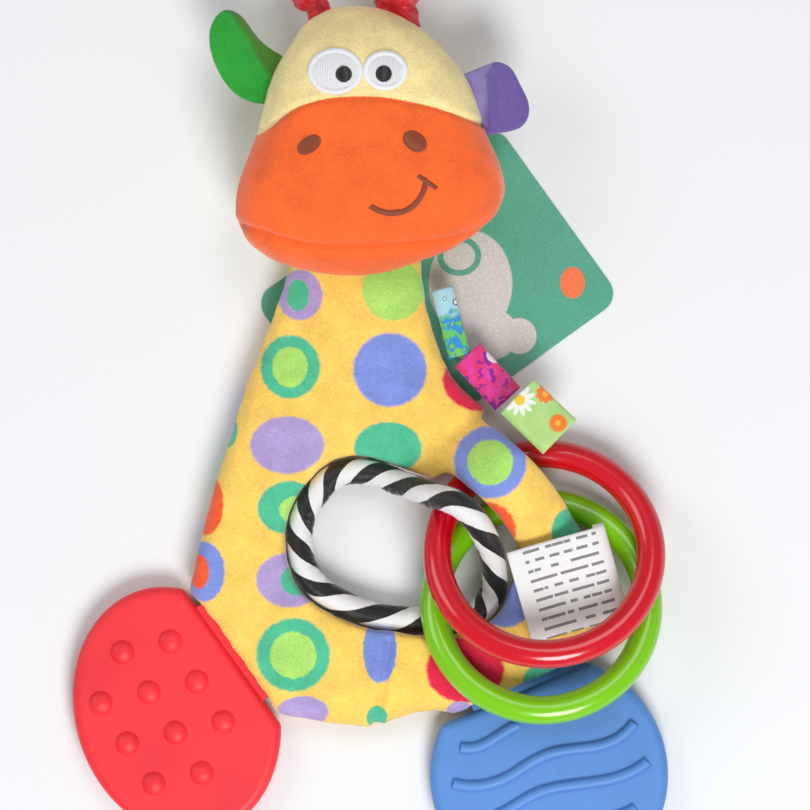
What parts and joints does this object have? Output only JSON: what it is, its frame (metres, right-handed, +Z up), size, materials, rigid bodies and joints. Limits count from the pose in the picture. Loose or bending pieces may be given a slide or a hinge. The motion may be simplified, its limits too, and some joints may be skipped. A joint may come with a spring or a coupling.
{
  "type": "baby rattle",
  "caption": "Soft giraffe rattle with a hand hole, linked rings on one arm, folded ribbons and rubbery teether feet.",
  "frame": {"origin": "centre of the whole toy's box, on the surface it lies on", "axes": "+Y from the feet to the head, +X to the right seen from above, +Z up, out of the face"},
  "size_m": [0.178, 0.281, 0.042],
  "materials": {
    "dotted_plush": "short pile velour, yellow with printed round spots",
    "stuffing": "loose polyester fibre fill",
    "striped_satin": "woven satin with diagonal black and white stripes",
    "ribbon_blue": "printed satin ribbon",
    "ribbon_pink": "printed satin ribbon",
    "ribbon_green": "printed satin ribbon",
    "label_cloth": "woven satin label, printed with plain lines",
    "tag_card": "coated card",
    "yellow_plush": "short pile velour",
    "orange_plush": "short pile velour",
    "green_plush": "short pile velour",
    "purple_plush": "short pile velour",
    "red_satin": "crinkled satin",
    "white_thread": "satin stitch embroidery",
    "black_thread": "satin stitch embroidery",
    "brown_thread": "satin stitch embroidery",
    "capsule_plastic": "moulded",
    "bead_plastic": "moulded",
    "red_plastic": "glossy moulded",
    "green_plastic": "glossy moulded",
    "red_rubber": "satin soft plastic",
    "blue_rubber": "satin soft plastic"
  },
  "bodies": {
    "torso": {"body_front_panel": "dotted_plush", "body_back_panel": "dotted_plush", "body_stuffing": "stuffing", "arm_sleeve": "dotted_plush", "arm_stuffing": "stuffing", "grip_binding": "striped_satin", "ribbon_blue": "ribbon_blue", "ribbon_pink": "ribbon_pink", "ribbon_green": "ribbon_green", "care_label": "label_cloth", "hang_tag": "tag_card"},
    "head": {"head_brow_panel": "yellow_plush", "muzzle_panel": "orange_plush", "jaw_panel": "orange_plush", "head_back_panel": "yellow_plush", "head_stuffing": "stuffing", "eye_patch_left": "white_thread", "eye_patch_right": "white_thread", "pupil_left": "black_thread", "pupil_right": "black_thread", "nostril_left": "brown_thread", "nostril_right": "brown_thread", "smile_stitching": "brown_thread", "rattle_capsule_top": "capsule_plastic", "rattle_capsule_base": "capsule_plastic"},
    "beads": {"rattle_beads": "bead_plastic"},
    "ear_green": {"ear_green_front": "green_plush", "ear_green_back": "green_plush"},
    "ear_purple": {"ear_purple_front": "purple_plush", "ear_purple_back": "purple_plush"},
    "horn_left": {"horn_left": "red_satin"},
    "horn_right": {"horn_right": "red_satin"},
    "ring_red": {"ring_red": "red_plastic"},
    "ring_green": {"ring_green": "green_plastic"},
    "teether_red": {"teether_red": "red_rubber"},
    "teether_blue": {"teether_blue": "blue_rubber"}
  },
  "joints": [
    {"name": "head_nod", "type": "hinge", "parent": "torso", "child": "head", "pos_m": [-0.0045, 0.0495, 0.0075], "axis": [1, 0, 0], "range_deg": [0, 14], "stiffness_Nm_per_rad": 0.05},
    {"name": "rattle_beads_slide", "type": "slide", "parent": "head", "child": "beads", "axis": [1, 0, 0], "range_m": [-0.004, 0.004]},
    {"name": "ear_green_flap", "type": "hinge", "parent": "head", "child": "ear_green", "pos_m": [-0.02935, 0.1024, 0.021], "axis": [0.404, 0.9148, 0], "range_deg": [-20, 20], "stiffness_Nm_per_rad": 0.004},
    {"name": "ear_purple_flap", "type": "hinge", "parent": "head", "child": "ear_purple", "pos_m": [0.0309, 0.0959, 0.021], "axis": [-0.388, 0.9217, 0], "range_deg": [-20, 20], "stiffness_Nm_per_rad": 0.004},
    {"name": "horn_left_flop", "type": "hinge", "parent": "head", "child": "horn_left", "pos_m": [-0.0154, 0.1216, 0.021], "axis": [0.9677, 0.2519, 0], "range_deg": [-12, 12], "stiffness_Nm_per_rad": 0.01},
    {"name": "horn_right_flop", "type": "hinge", "parent": "head", "child": "horn_right", "pos_m": [0.011, 0.1195, 0.021], "axis": [0.9661, 0.258, 0], "range_deg": [-12, 12], "stiffness_Nm_per_rad": 0.01},
    {"name": "ring_red_swing", "type": "hinge", "parent": "torso", "child": "ring_red", "pos_m": [0.03478, -0.01332, 0.0074], "axis": [-0.848, -0.4896, 0.2028], "range_deg": [0, 30], "deforming": ["ribbon_green"]},
    {"name": "ring_green_swing", "type": "hinge", "parent": "torso", "child": "ring_green", "pos_m": [0.03952, -0.02551, 0.00493], "axis": [-0.9336, -0.3445, 0.0988], "range_deg": [0, 30]},
    {"name": "teether_red_flex", "type": "hinge", "parent": "torso", "child": "teether_red", "pos_m": [-0.04431, -0.07038, 0.0056], "axis": [0.583, -0.8124, 0], "range_deg": [-20, 20], "stiffness_Nm_per_rad": 0.3},
    {"name": "teether_blue_flex", "type": "hinge", "parent": "torso", "child": "teether_blue", "pos_m": [0.04897, -0.08138, 0.0056], "axis": [0.9219, 0.3874, 0], "range_deg": [-20, 20], "stiffness_Nm_per_rad": 0.3}
  ],
  "couplings": [
    {"joint": "ring_green_swing", "follows": "ring_red_swing", "ratio": 0.9}
  ]
}
